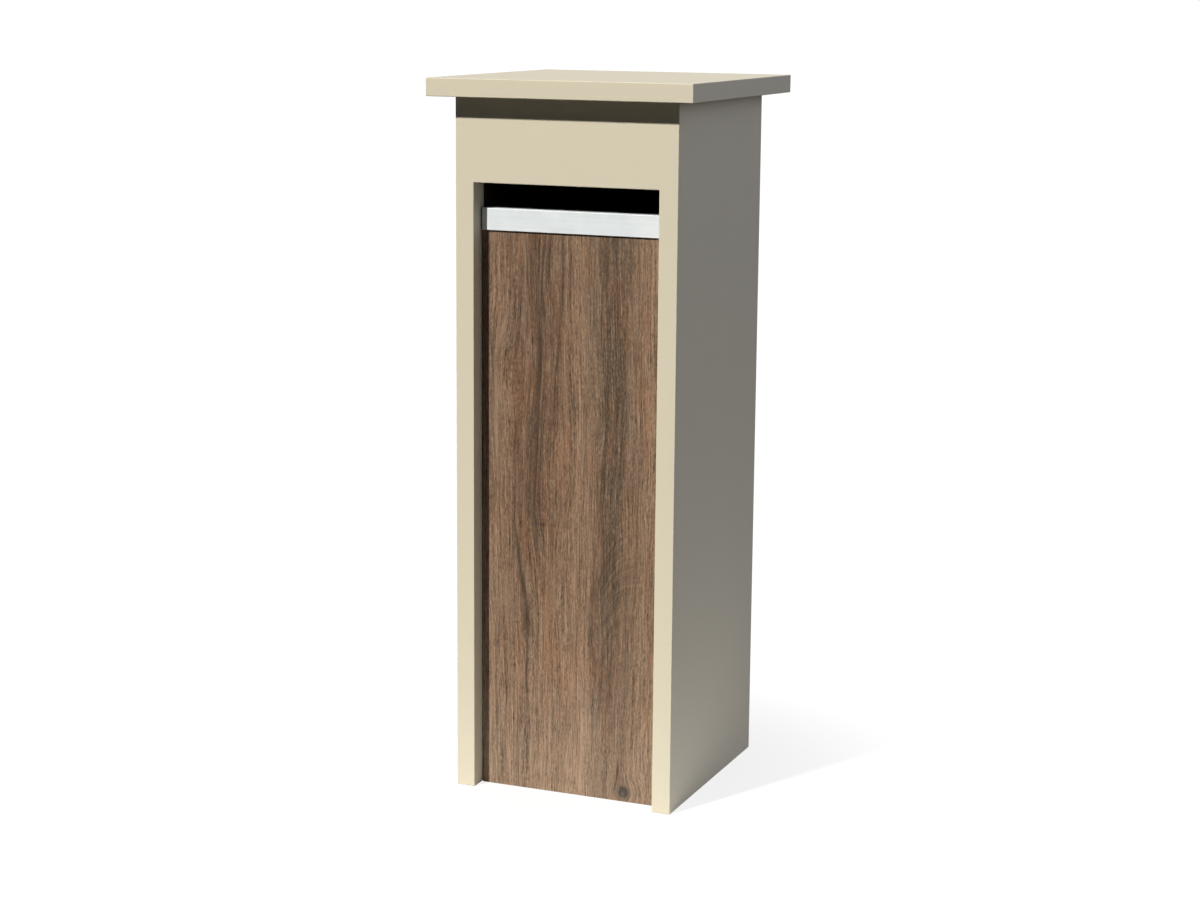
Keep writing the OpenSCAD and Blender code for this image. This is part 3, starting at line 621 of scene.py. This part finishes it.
def board(node, name, body, materials, arris=1.0 * MM, steps=3, inner=None):
    """A board with eased arrises; faces that `inner` picks take the second material."""
    shape = merged(node)
    low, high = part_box(node)
    if node in ("left_side_panel", "right_side_panel"):
        # A cut level with the header's lower edge, so that only the seam above it stays sharp
        everything = shape.verts[:] + shape.edges[:] + shape.faces[:]
        bmesh.ops.bisect_plane(shape, geom=everything, plane_co=HEADER_LOW, plane_no=(0, 0, 1))
    edges = [e for e in shape.edges if on_outline(e, low, high) and not in_filled_seam(e)]
    bmesh.ops.bevel(shape, geom=edges, offset=arris, segments=steps, profile=0.5, affect="EDGES",
                    clamp_overlap=False)
    for face in shape.faces:
        face.material_index = int(bool(inner and inner(face)))
    mesh = bpy.data.meshes.new(name)
    shape.to_mesh(mesh)
    shape.free()
    piece = settle(name, mesh, materials, body, [node])
    smoothed(piece, 40)
    return piece


def looks_back(face):
    return face.normal.y > 0.9


def looks_in(face):
    return face.normal.y < -0.9


# %% [markdown]
# The painted boards take two materials: the paint, and the film on the faces that look into the
# pillar. The side boards and the cap are painted all round, because their own mask already turns the
# paint into film inside.

# %% Painted boards
PAINTED = [
    ("cap_panel", "cap_board", "carcass", None),
    ("left_side_panel", "left_side_board", "carcass", None),
    ("right_side_panel", "right_side_board", "carcass", None),
    ("header_panel", "header_board", "carcass", looks_back),
    ("rear_top_rail", "top_rail_board", "carcass", looks_in),
    ("rear_bottom_rail", "bottom_rail_board", "carcass", looks_in),
    ("hinge_stile", "hinge_stile_board", "carcass", looks_in),
    ("lock_stile", "lock_stile_board", "carcass", looks_in),
    ("door_panel", "door_board", "door", looks_in),
]
for node, name, body, inner in PAINTED:
    piece = board(node, name, body, [paint, film], inner=inner)
    print(name, len(piece.data.polygons), "faces")

# %% [markdown]
# ## Bare boards and battens
# What no one sees isn't painted. The base and the shelf show film and plywood edges, and the battens,
# cleats and stops are pine. A batten's grain runs along it, so each takes the pine that is turned to
# its own axis.

# %% Bare boards and battens
for node, name in (("base_panel", "base_board"), ("mail_shelf", "shelf_board")):
    board(node, name, "carcass", [film_faced], arris=0.5 * MM, steps=2)

BATTENS = {
    "Z": ["left_front_batten", "right_front_batten"],
    "Y": [f"{side}_{level}_cleat" for side in ("left", "right") for level in ("base", "shelf", "cap")],
    "X": ["top_door_stop", "bottom_door_stop"],
}
for axis, nodes in BATTENS.items():
    for node in nodes:
        board(node, node + "_wood", "carcass", [pine[axis]], arris=1.2 * MM)
print(sum(len(nodes) for nodes in BATTENS.values()), "battens, cleats and stops")

# %% [markdown]
# ## Front panel and foam
# The decor board is cut from a finished sheet, so its arrises are crisp. The foam strips are softer
# and get a wide radius for their thickness.

# %% Front panel and foam
board("front_panel", "decor_board", "carcass", [wood_decor], arris=0.4 * MM, steps=2)
board("door_seal", "foam_strips", "carcass", [foam], arris=1.1 * MM, steps=4)
print("front panel and foam strips")

# %% [markdown]
# ## The sill
# The lip of the slot is a drawn aluminium angle. Its section is drawn once, corner by corner, with
# a small radius at each outer corner and two shallow die lines on its face, and then pulled along
# the slot. The ends are closed, and the screw holes of the CAD node are covered by their screws.

# %% Aluminium sill
SILL_LOW, SILL_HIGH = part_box("slot_sill")
SILL_T = SILL_HIGH.z - FRONT_HIGH.z
SILL_R = 0.5 * MM
DIE_LINES = [(9.5 * MM, 0.10 * MM), (3.4 * MM, 0.12 * MM)]   # height above the lower edge, depth
LINE_W = 0.6 * MM


def rounded(corner, start, turn, radius, steps=4):
    """Points on an arc about `corner`, from angle `start` through `turn`, in degrees."""
    angles = [math.radians(start + turn * i / steps) for i in range(steps + 1)]
    return [(corner[0] + radius * math.cos(a), corner[1] + radius * math.sin(a)) for a in angles]


def sill_section():
    """The angle's outline as (y, z), from the bottom of its face round to its underside."""
    y0, z0 = SILL_LOW.y, SILL_LOW.z
    y1, z1 = SILL_HIGH.y, SILL_HIGH.z
    r = SILL_R
    outline = rounded((y0 + SILL_T - r, z0 + r), 0, -90, r)
    outline += rounded((y0 + r, z0 + r), 270, -90, r)
    for height, depth in sorted(DIE_LINES):
        outline += [(y0, z0 + height - LINE_W), (y0 + depth, z0 + height), (y0, z0 + height + LINE_W)]
    outline += rounded((y0 + r, z1 - r), 180, -90, r)
    outline += rounded((y1 - r, z1 - r), 90, -90, r)
    outline += rounded((y1 - r, z1 - SILL_T + r), 0, -90, r)
    outline += rounded((y0 + SILL_T + r, z1 - SILL_T - r), 90, 90, r)
    return outline


def make_sill():
    shape = bmesh.new()
    outline = sill_section()
    ring = [shape.verts.new((SILL_LOW.x, y, z)) for y, z in outline]
    start = shape.faces.new(ring)
    pulled = bmesh.ops.extrude_face_region(shape, geom=[start])
    moved = [v for v in pulled["geom"] if isinstance(v, bmesh.types.BMVert)]
    bmesh.ops.translate(shape, verts=moved, vec=(SILL_HIGH.x - SILL_LOW.x, 0, 0))
    bmesh.ops.recalc_face_normals(shape, faces=shape.faces)
    mesh = bpy.data.meshes.new("sill_bar")
    shape.to_mesh(mesh)
    shape.free()
    piece = settle("sill_bar", mesh, [aluminium_painted_sheen], "carcass", ["slot_sill"])
    smoothed(piece, 30)
    return piece


sill = make_sill()
print("sill section:", len(sill_section()), "corners")

# %% [markdown]
# ## Screws from one Geometry Nodes tree
# Every screw is the same shape at another size: a countersunk head with a cross recess, a shank, a
# point and a thread. So one tree builds a screw from its sizes and puts it on every vertex of a
# small mesh of places, turned along an attribute called `aim`. The CAD node tells where they are:
# each of its loose parts is one screw, and its widest end is the head.

# %% Find the fasteners in a CAD node
def loose_parts(node):
    """The corners of each separate solid in a node."""
    shape = bmesh.new()
    shape.from_mesh(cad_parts[node].data)
    bmesh.ops.remove_doubles(shape, verts=shape.verts, dist=0.002 * MM)
    left = set(shape.verts)
    parts = []
    while left:
        group = []
        waiting = [left.pop()]
        while waiting:
            vert = waiting.pop()
            group.append(vert.co.copy())
            for edge in vert.link_edges:
                other = edge.other_vert(vert)
                if other in left:
                    left.remove(other)
                    waiting.append(other)
        parts.append(group)
    shape.free()
    return parts


def measure_pin(points):
    """Head place, direction, length, and the radius at the wider end of a turned piece."""
    low = Vector([min(p[a] for p in points) for a in range(3)])
    high = Vector([max(p[a] for p in points) for a in range(3)])
    size = high - low
    axis = max(range(3), key=lambda a: size[a])
    middle = (low + high) / 2
    cross = [a for a in range(3) if a != axis]

    def radius_near(level):
        near = [p for p in points if abs(p[axis] - level) < 0.3 * MM]
        return max(math.hypot(p[cross[0]] - middle[cross[0]], p[cross[1]] - middle[cross[1]]) for p in near)

    at_low, at_high = radius_near(low[axis]), radius_near(high[axis])
    aim = Vector((0, 0, 0))
    aim[axis] = 1 if at_low >= at_high else -1
    head = middle.copy()
    head[axis] = low[axis] if at_low >= at_high else high[axis]
    return head, aim, size[axis], max(at_low, at_high)


sample = measure_pin(loose_parts("front_batten_screws")[0])
print("a batten screw is", round(sample[2] / MM, 1), "mm long, head", round(2 * sample[3] / MM, 1), "mm")

# %% [markdown]
# ## A kit for node trees
# A Geometry Nodes group is a recipe for a mesh. The `Tree` class below makes one with named inputs,
# and its `node` method adds a node and joins its sockets in one line. The last step is the same for
# every recipe: put the shape on each place, make the copies real and give them a material.

# %% A small kit for Geometry Nodes
class Tree:
    """A Geometry Nodes group with named inputs."""

    def __init__(self, name, sizes):
        self.group = bpy.data.node_groups.new(name, "GeometryNodeTree")
        face = self.group.interface
        face.new_socket("Geometry", in_out="INPUT", socket_type="NodeSocketGeometry")
        face.new_socket("Geometry", in_out="OUTPUT", socket_type="NodeSocketGeometry")
        face.new_socket("Material", in_out="INPUT", socket_type="NodeSocketMaterial")
        for size in sizes:
            face.new_socket(size, in_out="INPUT", socket_type="NodeSocketFloat")
        self.inputs = self.group.nodes.new("NodeGroupInput")
        self.outputs = self.group.nodes.new("NodeGroupOutput")

    def node(self, kind, settings=None, out=0, **named):
        made = self.group.nodes.new(kind)
        for key, value in (settings or {}).items():
            setattr(made, key, value)
        for key, value in named.items():
            socket = made.inputs[key.replace("_", " ")]
            for one in value if isinstance(value, list) else [value]:
                if isinstance(one, bpy.types.NodeSocket):
                    self.group.links.new(one, socket)
                else:
                    socket.default_value = one
        return made.outputs[out]

    def value(self, operation, first, second):
        made = self.group.nodes.new("ShaderNodeMath")
        made.operation = operation
        for socket, one in zip(made.inputs, (first, second)):
            if isinstance(one, bpy.types.NodeSocket):
                self.group.links.new(one, socket)
            else:
                socket.default_value = one
        return made.outputs[0]

    def point(self, x=0.0, y=0.0, z=0.0):
        return self.node("ShaderNodeCombineXYZ", X=x, Y=y, Z=z)

    def moved(self, geometry, offset):
        return self.node("GeometryNodeTransform", Geometry=geometry, Translation=offset)

    def finish(self, geometry):
        self.group.links.new(geometry, self.outputs.inputs[0])


def on_every_place(tree, shape):
    """Instances of a shape on the places, turned along `aim`, made real and given its material."""
    aim = tree.node("GeometryNodeInputNamedAttribute", {"data_type": "FLOAT_VECTOR"}, Name="aim")
    turn = tree.node("FunctionNodeAlignRotationToVector", {"axis": "Z"}, Vector=aim)
    points = tree.node("GeometryNodeMeshToPoints", Mesh=tree.inputs.outputs["Geometry"])
    placed = tree.node("GeometryNodeInstanceOnPoints", Points=points, Instance=shape, Rotation=turn)
    real = tree.node("GeometryNodeRealizeInstances", Geometry=placed)
    tree.finish(tree.node("GeometryNodeSetMaterial", Geometry=real,
                          Material=tree.inputs.outputs["Material"]))


# %% [markdown]
# The screw is put together along +Z from the head's face: a rim, a cone, a core, a point and a thread
# that winds round the core. Two bars cut the cross recess. Each size is a share of the head's or the
# shank's radius, so one recipe serves every screw.

# %% The screw tree
SHANK_SHARE = 0.5          # of the head's radius
PITCH_SHARE = 0.45
CORE_SHARE = 0.72          # of the shank's radius
RIM_SHARE = 0.06           # of the head's radius
RECESS_WIDE = 1.15         # of the head's radius
RECESS_NARROW = 0.20
RECESS_DEEP = 1.1          # of the countersink's depth, half of it below the head's face
POINT_SHARE = 2.2          # of the shank's radius
THREADED_SHARE = 0.62      # of the straight part
RIDGE_SHARE = 0.85         # of the shank's radius, and the thread's own radius comes on top
THREAD_SHARE = 0.15
POINT_RADIUS = 0.1 * MM


def screw_tree():
    tree = Tree("countersunk_screw", ["Head Radius", "Shank Radius", "Length", "Pitch"])
    head, shank, length, pitch = (tree.inputs.outputs[n] for n in
                                  ("Head Radius", "Shank Radius", "Length", "Pitch"))
    sink = tree.value("SUBTRACT", head, shank)
    core = tree.value("MULTIPLY", shank, CORE_SHARE)
    rim = tree.value("MULTIPLY", head, RIM_SHARE)
    # The head: a thin rim and a cone, wide end at the origin, pointing along +Z
    disc = tree.node("GeometryNodeMeshCone", Vertices=24, Radius_Top=head,
                     Radius_Bottom=tree.value("SUBTRACT", head, rim), Depth=rim)
    cone = tree.node("GeometryNodeMeshCone", Vertices=24, Radius_Top=shank, Radius_Bottom=head,
                     Depth=tree.value("SUBTRACT", sink, rim))
    cone = tree.moved(cone, tree.point(z=rim))
    body = tree.node("GeometryNodeMeshBoolean", {"operation": "UNION"}, out="Mesh", Mesh_2=[disc, cone])
    # The cross recess: two bars
    bar_size = tree.point(tree.value("MULTIPLY", head, RECESS_WIDE),
                          tree.value("MULTIPLY", head, RECESS_NARROW),
                          tree.value("MULTIPLY", sink, RECESS_DEEP))
    bar = tree.node("GeometryNodeMeshCube", Size=bar_size)
    other = tree.node("GeometryNodeTransform", Geometry=bar, Rotation=(0, 0, math.pi / 2))
    cut = tree.node("GeometryNodeMeshBoolean", {"operation": "DIFFERENCE"}, out="Mesh",
                    Mesh_1=body, Mesh_2=[bar, other])
    # The shank, its point and the thread that winds round the shank
    tip = tree.value("MULTIPLY", shank, POINT_SHARE)
    straight = tree.value("SUBTRACT", length, tip)
    rod = tree.node("GeometryNodeMeshCone", Vertices=10, Radius_Top=core, Radius_Bottom=core,
                    Depth=tree.value("SUBTRACT", straight, sink))
    rod = tree.moved(rod, tree.point(z=sink))
    point = tree.node("GeometryNodeMeshCone", Vertices=10, Radius_Top=POINT_RADIUS, Radius_Bottom=core,
                      Depth=tip)
    point = tree.moved(point, tree.point(z=straight))
    run = tree.value("MULTIPLY", straight, THREADED_SHARE)
    turns = tree.value("DIVIDE", run, pitch)
    ridge = tree.value("MULTIPLY", shank, RIDGE_SHARE)
    spiral = tree.node("GeometryNodeCurveSpiral", Resolution=10, Rotations=turns, Start_Radius=ridge,
                       End_Radius=ridge, Height=run)
    profile = tree.node("GeometryNodeCurvePrimitiveCircle", Resolution=3,
                        Radius=tree.value("MULTIPLY", shank, THREAD_SHARE))
    thread = tree.node("GeometryNodeCurveToMesh", Curve=spiral, Profile_Curve=profile, Fill_Caps=True)
    thread = tree.moved(thread, tree.point(z=tree.value("SUBTRACT", straight, run)))
    whole = tree.node("GeometryNodeJoinGeometry", Geometry=[thread, point, rod, cut])
    on_every_place(tree, whole)
    return tree.group


screw = screw_tree()
print("screw tree:", len(screw.nodes), "nodes")

# %% [markdown]
# ## Dowels
# A dowel is a wooden pin with flutes that let the glue out. Its section is a star with many short
# points, filled and pulled out, and the same mesh of places carries it.

# %% The dowel tree
FLUTE_SHARE = 0.9


def dowel_tree():
    tree = Tree("fluted_dowel", ["Radius", "Length"])
    radius, length = (tree.inputs.outputs[n] for n in ("Radius", "Length"))
    star = tree.node("GeometryNodeCurveStar", Points=14, Outer_Radius=radius,
                     Inner_Radius=tree.value("MULTIPLY", radius, FLUTE_SHARE))
    line = tree.node("GeometryNodeCurvePrimitiveLine", End=tree.point(z=length))
    pin = tree.node("GeometryNodeCurveToMesh", Curve=line, Profile_Curve=star, Fill_Caps=True)
    on_every_place(tree, pin)
    return tree.group


dowel = dowel_tree()
print("dowel tree:", len(dowel.nodes), "nodes")

# %% [markdown]
# ## Plant the fasteners
# For each CAD node of fasteners, the heads' places become the points of a small mesh, and the tree
# runs on it as a modifier. The inputs are set by each socket's identifier. The result is then copied
# into a plain mesh, because an exported model can't carry a modifier's instances. The longest fastener
# of a node gives the size of all of them, so the 30 mm screws in `shelf_cleat_screws` are drawn 34 mm
# long, like their neighbours.

# %% Plant fasteners
def plant(node, name, body, group, material, sizes):
    """Runs a tree on the places of a CAD node's fasteners and keeps the result as a plain mesh."""
    pins = [measure_pin(part) for part in loose_parts(node)]
    pins.sort(key=lambda pin: (-pin[2], *pin[0]))     # the longest first, and the same order each run
    places = bpy.data.meshes.new(name + "_places")
    places.from_pydata([tuple(pin[0]) for pin in pins], [], [])
    aims = places.attributes.new("aim", "FLOAT_VECTOR", "POINT")
    for item, pin in zip(aims.data, pins):
        item.vector = pin[1]
    holder = bpy.data.objects.new(name + "_holder", places)
    bpy.context.scene.collection.objects.link(holder)
    modifier = holder.modifiers.new("tree", "NODES")
    modifier.node_group = group
    values = {"Material": material, **sizes(pins[0])}
    for item in group.interface.items_tree:
        if item.in_out == "INPUT" and item.name in values:
            modifier[item.identifier] = values[item.name]
    evaluated = holder.evaluated_get(bpy.context.evaluated_depsgraph_get())
    mesh = bpy.data.meshes.new_from_object(evaluated)
    mesh.name = name
    bpy.data.objects.remove(holder)
    shape = bmesh.new()
    shape.from_mesh(mesh)
    bmesh.ops.recalc_face_normals(shape, faces=shape.faces)
    shape.to_mesh(mesh)
    shape.free()
    mesh.materials.clear()
    piece = settle(name, mesh, [material], body, [node])
    piece.data.set_sharp_from_angle(angle=math.radians(35))
    return len(pins), len(mesh.polygons)


def screw_sizes(pin):
    _, _, length, radius = pin
    return {"Head Radius": radius, "Shank Radius": radius * SHANK_SHARE, "Length": length,
            "Pitch": radius * PITCH_SHARE}


def dowel_sizes(pin):
    _, _, length, radius = pin
    return {"Radius": radius, "Length": length}


SCREWS = ["sill_screws", "front_batten_screws", "front_panel_screws", "base_cleat_screws",
          "shelf_cleat_screws", "cap_cleat_screws", "stile_screws", "door_stop_screws",
          "strike_screws", "frame_leaf_screws"]
for node in SCREWS:
    count, faces = plant(node, "turned_" + node, "carcass", screw, zinc, screw_sizes)
    print(node, count, "screws,", faces, "faces")
plant("door_leaf_screws", "turned_door_leaf_screws", "door", screw, zinc, screw_sizes)
for node in ("header_dowels", "rail_dowels"):
    plant(node, "fluted_" + node, "carcass", dowel, pine["X"], dowel_sizes)

# %% [markdown]
# ## Hinges, lock and key
# Stamped and turned pieces keep the CAD shape and get a tiny radius on their sharp edges, because a
# mathematically sharp edge never catches the light.

# %% Small hardware
SHARP = math.radians(50)
SHORTEST = 0.5 * MM


def hardware(node, name, body, material, radius=0.2 * MM):
    """A merged copy of a CAD node whose sharp edges have a small radius."""
    shape = merged(node)
    edges = [e for e in shape.edges
             if len(e.link_faces) == 2 and e.calc_face_angle(0) > SHARP and e.calc_length() > SHORTEST]
    bmesh.ops.bevel(shape, geom=edges, offset=radius, segments=2, profile=0.5, affect="EDGES",
                    clamp_overlap=True)
    mesh = bpy.data.meshes.new(name)
    shape.to_mesh(mesh)
    shape.free()
    piece = settle(name, mesh, [material], body, [node])
    smoothed(piece, 32)
    return piece


for level in ("upper", "middle", "lower"):
    hardware(f"{level}_hinge_frame_leaf", f"{level}_frame_leaf", "carcass", stainless)
    hardware(f"{level}_hinge_door_leaf", f"{level}_door_leaf", "door", stainless)
    hardware(f"{level}_hinge_pin", f"{level}_pin", "carcass", stainless)
hardware("strike_plate", "strike", "carcass", zinc)
hardware("lock_nut", "nut", "door", zinc, 0.3 * MM)
hardware("lock_cam", "cam", "lock", zinc, 0.3 * MM)
hardware("cam_screw", "cam_bolt", "lock", zinc)
hardware("lock_barrel", "barrel", "door", nickel, 0.15 * MM)
hardware("lock_plug", "plug", "lock", nickel, 0.1 * MM)
hardware("key", "key_blank", "key", nickel, 0.25 * MM)
print("hinges, lock and key")

# %% [markdown]
# ## Floor
# The floor is plain and pale. What the eye sees of it and what it throws back at the mailbox are
# set apart with a Light Path node: it looks like bright paper, with a faint shadow close to the foot,
# but only the patch round the foot is a strong reflector, so that the pillar gets lighter towards
# the ground.

# %% Floor
REACH = 150.0
PATCH = 0.30
NEAR_BOUNCE = 0.62
FAR_BOUNCE = 0.03


def floor_finish():
    finish = Finish("pale_floor")
    x, y, _ = finish.axes(finish.place)
    radius = (x * x + y * y) ** 0.5
    far = finish.between(radius, PATCH, 3 * PATCH)
    faded = finish.between(radius, 0.5 * PATCH, 2 * PATCH)
    bounce = finish.node("ShaderNodeBsdfDiffuse", None,
                         NEAR_BOUNCE - far * (NEAR_BOUNCE - FAR_BOUNCE))
    paper = finish.node("ShaderNodeBsdfDiffuse", None, (0.85, 0.85, 0.85, 1))
    glow = finish.node("ShaderNodeEmission", None, (1.0, 1.0, 1.0, 1), 1.05)
    lit_paper = finish.node("ShaderNodeMixShader", None, 0.78 + faded * 0.22, paper, glow)
    seen = finish.node("ShaderNodeLightPath", out="Is Camera Ray")
    finish.node("ShaderNodeOutputMaterial", None,
                finish.node("ShaderNodeMixShader", None, seen, bounce, lit_paper))
    return finish.holder


floor_mesh = bpy.data.meshes.new("floor")
floor_mesh.from_pydata([(-REACH, -REACH, 0), (REACH, -REACH, 0), (REACH, REACH, 0), (-REACH, REACH, 0)],
                       [], [(0, 1, 2, 3)])
floor_mesh.materials.append(floor_finish())
floor = bpy.data.objects.new("floor", floor_mesh)
bpy.context.scene.collection.objects.link(floor)
print("floor", 2 * REACH, "m across")

# %% [markdown]
# ## Light
# One lamp stands high to the front left and puts a clear shadow under the cap and beside the left
# jamb. The rest of the light is a world whose brightness depends on direction: dim in front, so
# that those shadows stay deep, and brighter on the right and behind, which lifts the right side and
# gives the cap's top a soft sheen.

# %% Lights
SUN_WAY = Vector((0.47, 1.0, -1.0))
sun_data = bpy.data.lights.new("key_light", "SUN")
sun_data.energy = 4.25
sun_data.color = (1.0, 0.96, 0.88)
sun_data.angle = math.radians(2.5)
sun = bpy.data.objects.new("key_light", sun_data)
sun.rotation_euler = SUN_WAY.to_track_quat("-Z", "Y").to_euler()
bpy.context.scene.collection.objects.link(sun)


RIGHT_WAY = (0.92, 0.39)     # to the right and a little behind, as x and y
RIGHT_STRENGTH = 0.86
BACK_STRENGTH = 0.80
FRONT_STRENGTH = 0.007
SKY_TINT = (0.89, 0.915, 1.02)
BACK_TINT = (0.92, 0.915, 0.98)


def studio_world():
    sky = Finish("studio", bpy.data.worlds.new("studio"))
    x, y, _ = sky.axes(sky.node("ShaderNodeTexCoord", out="Generated"))
    leaning = x * RIGHT_WAY[0] + y * RIGHT_WAY[1]
    right = x.math("MAXIMUM", leaning, 0.0)
    behind = y.math("MAXIMUM", y, 0.0)
    strength = FRONT_STRENGTH + right * right * RIGHT_STRENGTH + behind * behind * BACK_STRENGTH
    tint = sky.mix(behind * behind, SKY_TINT, BACK_TINT)
    fill = sky.node("ShaderNodeBackground", None, tint, strength)
    backdrop = sky.node("ShaderNodeBackground", None, (1.0, 1.0, 1.0, 1), 1.0)
    seen = sky.node("ShaderNodeLightPath", out="Is Camera Ray")
    sky.node("ShaderNodeOutputWorld", None, sky.node("ShaderNodeMixShader", None, seen, fill, backdrop))
    return sky.holder


bpy.context.scene.world = studio_world()
bpy.context.scene.view_settings.view_transform = "Standard"
print("sun", round(sun_data.energy, 1), "and a dim sky")
